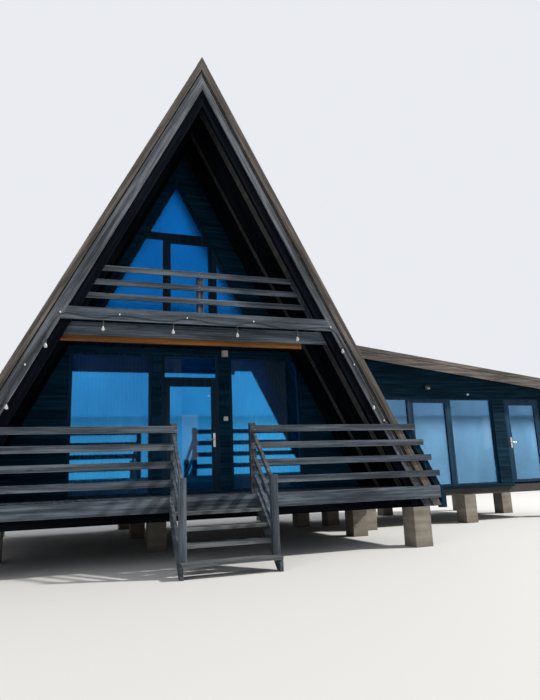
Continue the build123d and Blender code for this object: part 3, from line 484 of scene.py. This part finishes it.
NODE_MATERIALS = {
    "concrete_piers": "concrete", "side_sills": "beam_y", "cross_beams": "beam_x",
    "deck_rim": "grey_x", "deck_rails": "grey_x", "deck_posts": "grey_z", "rail_end_posts": "dark_z",
    "stair_stringers": "grey_y", "stair_treads": "tread", "stair_posts": "grey_z", "stair_rails": "grey_y",
    "roof_left": "shingle", "roof_right": "shingle", "rafters": "rafter", "ridge_cap": "cap",
    "verge_trim": "trim_slope", "barge_boards": "grey_slope",
    "front_wall_left": "porch_painted_light_x", "front_wall_right": "porch_painted_light_x", "front_wall_posts": "porch_painted_light_x",
    "front_wall_head": "porch_painted_light_x", "gable_wall": "porch_painted_light_x", "rear_wall": "dark_x",
    "window_frames": "frame", "door_frame": "frame", "door_leaf": "frame", "gable_frame": "frame",
    "window_glass": "glass", "door_glass": "glass", "gable_glass": "gable_glass", "door_handle": "steel",
    "deck_floor": "beam_y", "cabin_floor": "beam_y", "upper_floor": "beam_y", "balcony_floor": "dark_y",
    "balcony_rim": "grey_x", "balcony_rails": "grey_x", "balcony_post": "grey_z", "soffit_beam": "orange",
    "curtain_rods": "steel", "porch_lamp": "white", "string_holders": "black", "string_bulbs": "bulb",
    "wing_supports": "support", "wing_floor": "beam_y", "wing_roof": "beam_x", "wing_trim": "trim_x",
    "wing_front_wall": "dark_x", "wing_other_walls": "dark_y", "wing_frames": "frame",
    "wing_glass": "wing_glass", "wing_door_leaf": "frame", "wing_door_glass": "wing_glass",
    "wing_door_handle": "steel",
}


def dress_nodes():
    """Gives every CAD node its material."""
    for node, key in NODE_MATERIALS.items():
        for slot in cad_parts[node].material_slots:
            slot.material = materials[key]


# Corners that are closer together than this are one corner
WELD = 1e-5


def islands(node):
    """The corner points of each separate solid of a CAD node."""
    mesh = bmesh.new()
    mesh.from_mesh(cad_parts[node].data)
    bmesh.ops.remove_doubles(mesh, verts=mesh.verts, dist=WELD)
    unseen = set(mesh.verts)
    found = []
    for first in mesh.verts:
        if first not in unseen:
            continue
        unseen.remove(first)
        stack = [first]
        points = []
        while stack:
            vert = stack.pop()
            points.append(vert.co.copy())
            for edge in vert.link_edges:
                other = edge.other_vert(vert)
                if other in unseen:
                    unseen.remove(other)
                    stack.append(other)
        found.append(points)
    mesh.free()
    return found


def span(points, axis):
    """The lowest and the highest place of some points along one axis."""
    values = [p[axis] for p in points]
    return min(values), max(values)


def extent(points, axis):
    """How far some points reach along one axis."""
    low, high = span(points, axis)
    return high - low


def turn(a, b, c):
    """Above zero when c lies to the left of the line from a to b."""
    return (b[0] - a[0]) * (c[1] - a[1]) - (b[1] - a[1]) * (c[0] - a[0])


def hull(points):
    """The convex outline of a set of 2-D points, anticlockwise."""
    points = sorted({(round(u, 5), round(v, 5)) for u, v in points})

    def half(ordered):
        """One side of the outline, without its last point."""
        chain = []
        for p in ordered:
            while len(chain) > 1 and turn(chain[-2], chain[-1], p) <= 1e-9:
                chain.pop()
            chain.append(p)
        return chain[:-1]

    return half(points) + half(points[::-1])


def clip(polygon, a, b):
    """The part of a convex polygon on the left of the line from a to b."""
    kept = []
    for i, p in enumerate(polygon):
        q = polygon[(i + 1) % len(polygon)]
        side_p, side_q = turn(a, b, p), turn(a, b, q)
        if side_p >= 0:
            kept.append(p)
        if side_p * side_q < 0:
            share = side_p / (side_p - side_q)
            kept.append((p[0] + (q[0] - p[0]) * share, p[1] + (q[1] - p[1]) * share))
    return kept


def around(polygons, hole):
    """Convex polygons with a rectangle (u0, u1, v0, v1) taken out of them."""
    u0, u1, v0, v1 = hole
    left, right = ((u0, v1), (u0, v0)), ((u1, v0), (u1, v1))
    rest = []
    for polygon in polygons:
        rest.append(clip(polygon, (u0, v0), (u0, v1)))
        rest.append(clip(polygon, (u1, v1), (u1, v0)))
        middle = clip(clip(polygon, *left), *right)
        rest.append(clip(middle, (u1, v0), (u0, v0)))
        rest.append(clip(middle, (u0, v1), (u1, v1)))
    return [p for p in rest if len(p) > 2]


def new_piece(name, mesh, material, bevel=0.0):
    """A new object on the cabin's body, with the slot that its material stands for."""
    data = bpy.data.meshes.new(name)
    bmesh.ops.recalc_face_normals(mesh, faces=mesh.faces)
    mesh.to_mesh(data)
    mesh.free()
    piece = bpy.data.objects.new(name, data)
    bpy.context.collection.objects.link(piece)
    data.materials.append(materials[material])
    if bevel:
        edge = piece.modifiers.new("bevel", "BEVEL")
        edge.width = bevel
        edge.segments = 1
    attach(piece, "cabin")
    return piece


def prism(mesh, low, high):
    """A solid between two outlines with the same number of points."""
    bottom = [mesh.verts.new(p) for p in low]
    top = [mesh.verts.new(p) for p in high]
    mesh.faces.new(bottom)
    mesh.faces.new(top)
    for i in range(len(low)):
        j = (i + 1) % len(low)
        mesh.faces.new((bottom[i], bottom[j], top[j], top[i]))


def slab(mesh, low, high):
    """A box between two corners."""
    (x0, y0, z0), (x1, y1, z1) = low, high
    prism(mesh, [(x0, y0, z0), (x1, y0, z0), (x1, y1, z0), (x0, y1, z0)],
          [(x0, y0, z1), (x1, y0, z1), (x1, y1, z1), (x0, y1, z1)])


def block(mesh, centre, low, high):
    """A box between two corners that are measured from a centre."""
    slab(mesh, centre + Vector(low), centre + Vector(high))


# Cladding boards: their thickness, how deep they sit in the wall behind them, the heights of their courses,
# the gap between them, the width of those that stand upright and the chamfer along their edges
BOARD = 0.018
SUNK = 0.001
PORCH_PITCH = 0.098
WING_PITCH = 0.132
BOARD_GAP = 0.006
UPRIGHT = 0.092
CHAMFER = 0.002
# How far the gable's boards stand clear of its glazing frame
GABLE_MARGIN = 0.004
# The least width of a window, and how far behind a wall's face its own corners and its windows lie at most
WINDOW_WIDTH = 0.5
WALL_REACH = 0.16
WINDOW_REACH = 0.2
# The cabin's window frames behind this line are in its rear wall
REAR_WINDOWS_Y = WALL_BACK_Y + 1
# The wing's window frames before this line are in its front wall
FRONT_WINDOWS_Y = WING_Y + 0.5


def elevation(points, across=0):
    """The outline of a wall seen square on, across X (0) or across Y (1)."""
    return hull([(p[across], p.z) for p in points])


def opening(points, across=0):
    """The rectangle that a window takes out of its wall."""
    return (*span(points, across), *span(points, 2))


def on_wall(across, face, outward):
    """Places outlines on a wall's face: w is 0 where a board sits in the wall and 1 on its own face."""

    def place(u, v, w):
        depth = face + outward * (BOARD * w - SUNK)
        return (u, depth, v) if across == 0 else (depth, u, v)

    return place


def boards(mesh, polygons, pitch, place):
    """Cuts each polygon into level boards and gives each its thickness."""
    for polygon in polygons:
        low, high = span(polygon, 1)
        course = math.floor(low / pitch) * pitch
        while course < high:
            foot, head = course + BOARD_GAP / 2, course + pitch - BOARD_GAP / 2
            strip = clip(clip(polygon, (0, foot), (1, foot)), (1, head), (0, head))
            outline = hull(strip)
            if len(outline) > 2 and extent(strip, 1) > BOARD_GAP:
                prism(mesh, [place(u, v, 0) for u, v in outline], [place(u, v, 1) for u, v in outline])
            course += pitch


def front_cladding():
    """Level boards on the front wall beside and over the windows and the door, and on the gable."""
    mesh = bmesh.new()
    place = on_wall(0, WALL_Y, -1)
    walls = []
    for node in ("front_wall_left", "front_wall_right", "front_wall_head"):
        walls += [elevation(points) for points in islands(node)]
    boards(mesh, walls, PORCH_PITCH, place)
    for points in islands("front_wall_posts"):
        (x0, x1), (z0, z1) = span(points, 0), span(points, 2)
        count = max(round((x1 - x0) / UPRIGHT), 1)
        for i in range(count):
            left = x0 + (x1 - x0) * i / count + BOARD_GAP / 2
            right = x0 + (x1 - x0) * (i + 1) / count - BOARD_GAP / 2
            slab(mesh, (left, WALL_Y - BOARD, z0), (right, WALL_Y + SUNK, z1))
    gable = elevation(islands("gable_wall")[0])
    low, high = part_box("gable_frame")
    apex = ((low[0] + high[0]) / 2, high[2])
    left_foot, right_foot = (low[0] - GABLE_MARGIN, low[2]), (high[0] + GABLE_MARGIN, low[2])
    left = clip(gable, left_foot, apex)
    right = clip(clip(gable, apex, left_foot), apex, right_foot)
    boards(mesh, [left, right], PORCH_PITCH, place)
    new_piece("front_cladding", mesh, "porch_painted_light_x", bevel=CHAMFER)


def rear_cladding():
    """Level boards on the rear wall, around its windows."""
    mesh = bmesh.new()
    walls = [elevation(points) for points in islands("rear_wall")]
    for window in islands("window_frames"):
        if span(window, 1)[0] > REAR_WINDOWS_Y:
            walls = around(walls, opening(window))
    boards(mesh, walls, PORCH_PITCH, on_wall(0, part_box("rear_wall")[1][1], 1))
    new_piece("rear_cladding", mesh, "dark_x", bevel=CHAMFER)


def wing_cladding():
    """Boards on the wing's front frieze and panels, its end wall and its rear wall."""
    windows = islands("wing_frames")
    front = bmesh.new()
    front_wall = [elevation(max(islands("wing_front_wall"), key=len))]
    for window in windows:
        if span(window, 1)[0] < FRONT_WINDOWS_Y and extent(window, 0) > WINDOW_WIDTH:
            front_wall = around(front_wall, opening(window))
    boards(front, front_wall, WING_PITCH, on_wall(0, WING_Y, -1))
    new_piece("wing_front_cladding", front, "dark_x", bevel=CHAMFER)
    side = bmesh.new()
    end_x, rear_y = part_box("wing_other_walls")[1][:2]
    corners = [p for points in islands("wing_other_walls") for p in points]
    end_wall = [elevation([p for p in corners if p.x > end_x - WALL_REACH], 1)]
    rear_wall = [elevation([p for p in corners if p.y > rear_y - WALL_REACH])]
    for window in windows:
        if span(window, 0)[0] > end_x - WINDOW_REACH:
            end_wall = around(end_wall, opening(window, 1))
        if span(window, 1)[0] > rear_y - WINDOW_REACH:
            rear_wall = around(rear_wall, opening(window))
    boards(side, end_wall, WING_PITCH, on_wall(1, end_x, 1))
    boards(side, rear_wall, WING_PITCH, on_wall(0, rear_y, 1))
    new_piece("wing_side_cladding", side, "dark_x", bevel=CHAMFER)


def floor_planks(node, width, gap, name, material):
    """Planks that run front to back, in place of a floor's plain slab."""
    mesh = bmesh.new()
    (x0, y0, z0), (x1, y1, z1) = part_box(node)
    count = round((x1 - x0) / width)
    step = (x1 - x0) / count
    for i in range(count):
        left, right = x0 + i * step + gap / 2, x0 + (i + 1) * step - gap / 2
        slab(mesh, (left, y0, z0), (right, y1, z1))
    piece = new_piece(name, mesh, material, bevel=CHAMFER)
    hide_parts(node)


def shingles():
    """Overlapping rows of tabs on both slopes, every second row half a tab along."""
    mesh = bmesh.new()
    chance = Random(4)
    apex = Vector((AXIS_X, 0, APEX_Z))
    for side in (-1, 1):
        down = Vector((side * math.cos(PITCH), 0, -math.sin(PITCH)))
        out = Vector((side * math.sin(PITCH), 0, math.cos(PITCH)))
        for i in range(COURSES):
            top, bottom = max(i * COURSE_STEP - COURSE_LAP, 0.0), (i + 1) * COURSE_STEP
            y = ROOF_START_Y - (SHINGLE_TAB / 2 if i % 2 else 0)
            while y < ROOF_END_Y:
                y0, y1 = max(y + TAB_GAP, ROOF_START_Y), min(y + SHINGLE_TAB - TAB_GAP, ROOF_END_Y)
                if y1 - y0 > NARROWEST_TAB:
                    foot = bottom + chance.uniform(-0.004, 0.0)
                    lift = SHINGLE_LIFT + chance.uniform(-0.001, 0.001)
                    corners = ((top, y0), (top, y1), (foot, y1), (foot, y0))
                    under = [apex + down * along + Vector((0, back, 0)) for along, back in corners]
                    heights = (SHINGLE_HEAD, SHINGLE_HEAD, lift, lift)
                    prism(mesh, under, [p + out * height for p, height in zip(under, heights)])
                y += SHINGLE_TAB
    new_piece("roof_shingles", mesh, "shingle")


# The wing's felt: the number of its sheets, their thickness and the width of their laps
FELT_SHEETS = 5
FELT = 0.004
FELT_LAP = 0.1


def wing_felt():
    """Felt sheets with welded laps on the wing's roof, laid down the fall."""
    mesh = bmesh.new()
    deck = max(islands("wing_roof"), key=lambda points: extent(points, 0) * extent(points, 1))
    left = max(deck, key=lambda p: p.z)
    edge = span(deck, 0)[1] - 0.001
    right = max((p for p in deck if p.x > edge), key=lambda p: p.z)
    y0, y1 = span(deck, 1)
    step = (y1 - y0) / FELT_SHEETS
    for i in range(FELT_SHEETS):
        start = y0 + i * step
        for end, lift in ((y0 + (i + 1) * step, FELT), (start + FELT_LAP, 2 * FELT)):
            under = [Vector((left.x, start, left.z)), Vector((right.x, start, right.z)),
                     Vector((right.x, end, right.z)), Vector((left.x, end, left.z))]
            prism(mesh, under, [p + Vector((0, 0, lift)) for p in under])
    new_piece("wing_roof_felt", mesh, "felt")


def stud(mesh, centre, radius, height):
    """A round head that stands out of a front face."""
    place = Matrix.Translation(centre - Vector((0, height / 2, 0))) @ Matrix.Rotation(math.pi / 2, 4, "X")
    bmesh.ops.create_cone(mesh, cap_ends=True, segments=12, radius1=radius, radius2=radius * 0.7,
                          depth=height, matrix=place)


# A screw's radius and height, and how far it sits from the middle of a crossing, across and up
SCREW = (0.0065, 0.003)
SCREW_ACROSS = 0.022
SCREW_UP = 0.018
# A post's face and the back of the rail on it are closer together than this
TOUCHING = 0.03


def rail_screws():
    """Two screws where each level rail crosses a post."""
    mesh = bmesh.new()
    for rails, posts in (("deck_rails", "deck_posts"), ("balcony_rails", "balcony_post")):
        for rail in islands(rails):
            (x0, x1), (y0, y1), (z0, z1) = (span(rail, axis) for axis in range(3))
            level = (z0 + z1) / 2
            for post in islands(posts):
                middle = sum(span(post, 0)) / 2
                foot, head = span(post, 2)
                reaches = foot < z1 and head > z0
                if x0 < middle < x1 and reaches and abs(span(post, 1)[0] - y1) < TOUCHING:
                    stud(mesh, Vector((middle - SCREW_ACROSS, y0, level + SCREW_UP)), *SCREW)
                    stud(mesh, Vector((middle + SCREW_ACROSS, y0, level - SCREW_UP)), *SCREW)
    new_piece("rail_screws", mesh, "zinc")


# Where the wing's fittings sit, from the ridge line and the ground
WING_LAMP = (5.979, 3.085)
WING_SENSOR = (7.122, 2.942)
# The lamp's parts, each from a low to a high corner, and the sensor's, each by its radius and height
LAMP_ARM = ((-0.020, -0.034, -0.020), (0.020, 0.004, 0.020))
LAMP_HOUSING = ((-0.068, -0.072, -0.046), (0.068, -0.030, 0.046))
LAMP_LENS = ((-0.020, -0.078, -0.040), (0.058, -0.070, -0.006))
SENSOR_BASE = (0.030, 0.016)
SENSOR_HEAD = (0.020, 0.022)


def wing_fittings():
    """The flood lamp and the small white sensor on the boards over the wing's windows."""
    face = WING_Y - BOARD
    lamp = Vector((AXIS_X + WING_LAMP[0], face, WING_LAMP[1]))
    body = bmesh.new()
    block(body, lamp, *LAMP_ARM)
    block(body, lamp, *LAMP_HOUSING)
    new_piece("wing_lamp", body, "black", bevel=0.004)
    lens = bmesh.new()
    block(lens, lamp, *LAMP_LENS)
    new_piece("wing_lamp_lens", lens, "lens", bevel=0.002)
    sensor = bmesh.new()
    base = Vector((AXIS_X + WING_SENSOR[0], face + 0.002, WING_SENSOR[1]))
    stud(sensor, base, *SENSOR_BASE)
    stud(sensor, base - Vector((0, 0.014, 0)), *SENSOR_HEAD)
    new_piece("wing_sensor", sensor, "white", bevel=0.001)


# Curtains: the width and the depth of a pleat, the largest sum of its two waves, and the cloth's rows and
# the width of its columns
PLEAT = 0.068
PLEAT_DEPTH = 0.024
LARGEST_SWING = 1.25
CLOTH_ROWS = 14
CLOTH_COLUMN = 0.012


def curtain(points, index):
    """One hung width of pleated cloth in place of its CAD slab, fuller towards its hem."""
    (x0, x1), (y0, y1), (z0, z1) = (span(points, axis) for axis in range(3))
    middle = (y0 + y1) / 2
    chance = Random(20 + index)
    (stretch, drift), (_, ripple) = [(chance.uniform(0.8, 1.2), chance.uniform(0, 6.3)) for _ in range(2)]
    count = max(int((x1 - x0) / CLOTH_COLUMN), 8)
    mesh = bmesh.new()
    grid = []
    for row in range(CLOTH_ROWS + 1):
        z = z1 + (z0 - z1) * row / CLOTH_ROWS
        fullness = 0.55 + 0.45 * row / CLOTH_ROWS
        line = []
        for column in range(count + 1):
            share = column / count
            x = x0 + (x1 - x0) * share
            phase = 2 * math.pi * (x - x0) / PLEAT + 0.5 * math.sin(4.1 * share * stretch + drift)
            swing = math.sin(phase) + 0.25 * math.sin(2.3 * phase + ripple)
            y = middle + PLEAT_DEPTH * fullness * swing / LARGEST_SWING
            line.append(mesh.verts.new((x, y, z)))
        grid.append(line)
    for upper, lower in zip(grid, grid[1:]):
        for column in range(count):
            mesh.faces.new((upper[column], upper[column + 1], lower[column + 1], lower[column]))
    piece = new_piece(f"curtain_{index}", mesh, "cloth")
    for face in piece.data.polygons:
        face.use_smooth = True
    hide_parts("curtains")


# The string lights' route from part.py, in metres from the ridge line and the ground
STRING_ROUTE = (
    (-3.284, 1.330), (-2.980, 1.900), (-2.715, 2.375), (-2.522, 2.790), (-2.262, 3.228), (-2.105, 3.585),
    (-1.760, 3.510), (-1.509, 3.490), (-1.297, 3.572), (-0.800, 3.500), (-0.506, 3.490), (-0.309, 3.571),
    (0.180, 3.490), (0.482, 3.480), (0.747, 3.571), (1.180, 3.475), (1.474, 3.465), (2.103, 3.555),
    (2.255, 3.300), (2.450, 2.930), (2.746, 2.385), (2.923, 2.010), (3.139, 1.590), (3.284, 1.330),
)
CABLE_RADIUS = 0.0045
# The points that have a clip, a clip's low and high corner, and the share of the way from its point to the
# middle of the two beside it that brings it onto the cable
CLIP_POINTS = (1, 3, 5, 8, 11, 14, 17, 19, 21)
CLIP = ((-0.009, -0.007, -0.012), (0.009, 0.0055, 0.012))
CLIP_SHIFT = 0.12


def string_cable():
    """The held festoon cable, on the line of its CAD tube, with a white clip at each fixing."""
    low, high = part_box("string_cable")
    y = (low[1] + high[1]) / 2
    data = bpy.data.curves.new("string_cable_line", "CURVE")
    data.dimensions = "3D"
    data.bevel_depth = CABLE_RADIUS
    data.bevel_resolution = 3
    data.resolution_u = 6
    spline = data.splines.new("NURBS")
    spline.points.add(len(STRING_ROUTE) - 1)
    for point, (x, z) in zip(spline.points, STRING_ROUTE):
        point.co = (AXIS_X + x, y, z, 1)
    spline.order_u = 3
    spline.use_endpoint_u = True
    line = bpy.data.objects.new("string_cable_line", data)
    bpy.context.collection.objects.link(line)
    data.materials.append(materials["black"])
    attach(line, "cabin")
    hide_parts("string_cable")
    mesh = bmesh.new()
    for index in CLIP_POINTS:
        x, z = STRING_ROUTE[index]
        before, after = Vector(STRING_ROUTE[index - 1]), Vector(STRING_ROUTE[index + 1])
        inward = ((before + after) / 2 - Vector((x, z))) * CLIP_SHIFT
        centre = Vector((AXIS_X + x + inward.x, y - 0.001, z + inward.y))
        block(mesh, centre, *CLIP)
    new_piece("cable_clips", mesh, "white", bevel=0.002)


def add_light(name, place, target, size, watts, colour=(1, 1, 1)):
    """A soft square lamp that points at a target."""
    data = bpy.data.lights.new(name, "AREA")
    data.size = size
    data.energy = watts
    data.color = colour
    light = bpy.data.objects.new(name, data)
    bpy.context.collection.objects.link(light)
    light.location = place
    light.rotation_euler = (Vector(target) - Vector(place)).to_track_quat("-Z", "Y").to_euler()


# Half the floor's side, the colours of the floor and of the world, and the world's strength as light and as
# seen straight, in gloss or through glass
FLOOR_REACH = 60
FLOOR_COLOUR = (0.74, 0.74, 0.73, 1)
WORLD_COLOUR = (0.93, 0.95, 1.0, 1)
WORLD_LIGHT, WORLD_SEEN = 0.38, 0.88


def add_floor():
    """A plain pale floor under the piers."""
    mesh = bmesh.new()
    signs = ((-1, -1), (1, -1), (1, 1), (-1, 1))
    mesh.faces.new([mesh.verts.new((x * FLOOR_REACH, y * FLOOR_REACH, 0)) for x, y in signs])
    data = bpy.data.meshes.new("floor")
    mesh.to_mesh(data)
    mesh.free()
    floor = bpy.data.objects.new("floor", data)
    bpy.context.collection.objects.link(floor)
    shader = Shader("floor_plain", 0.9)
    shader.surface.inputs["Base Color"].default_value = FLOOR_COLOUR
    data.materials.append(shader.material)


def add_world():
    """A plain pale world that looks brighter than the light it gives."""
    world = bpy.data.worlds.new("studio")
    world.use_nodes = True
    tree = world.node_tree
    background = tree.nodes["Background"]
    background.inputs["Color"].default_value = WORLD_COLOUR
    rays = tree.nodes.new("ShaderNodeLightPath")
    seen = rays.outputs["Is Camera Ray"]
    for kind in ("Is Glossy Ray", "Is Transmission Ray"):
        both = tree.nodes.new("ShaderNodeMath")
        both.operation = "MAXIMUM"
        tree.links.new(seen, both.inputs[0])
        tree.links.new(rays.outputs[kind], both.inputs[1])
        seen = both.outputs[0]
    level = tree.nodes.new("ShaderNodeMapRange")
    level.inputs["To Min"].default_value = WORLD_LIGHT
    level.inputs["To Max"].default_value = WORLD_SEEN
    tree.links.new(seen, level.inputs["Value"])
    tree.links.new(level.outputs[0], background.inputs["Strength"])
    bpy.context.scene.world = world


def add_stage():
    """The floor, the world and soft lamps: the key from the front right, a weak fill and a back light."""
    add_floor()
    add_world()
    add_light("key", (40, -21, 34), (0, -1, 2), size=3.4, watts=37000, colour=(1.0, 0.96, 0.90))
    add_light("fill", (-14, -15, 8), (0, 0, 2), size=8, watts=500)
    add_light("back", (4, 16, 14), (0, 2, 3), size=9, watts=700)
    bpy.context.scene.view_settings.view_transform = "Standard"


add_camera()
dress_nodes()
string_cable()
front_cladding()
rear_cladding()
wing_cladding()
floor_planks("deck_floor", width=0.142, gap=0.006, name="deck_planks", material="grey_y")
floor_planks("cabin_floor", width=0.162, gap=0.0015, name="room_planks", material="beam_y")
shingles()
wing_felt()
rail_screws()
wing_fittings()
for number, points in enumerate(islands("curtains")):
    curtain(points, number)
add_stage()
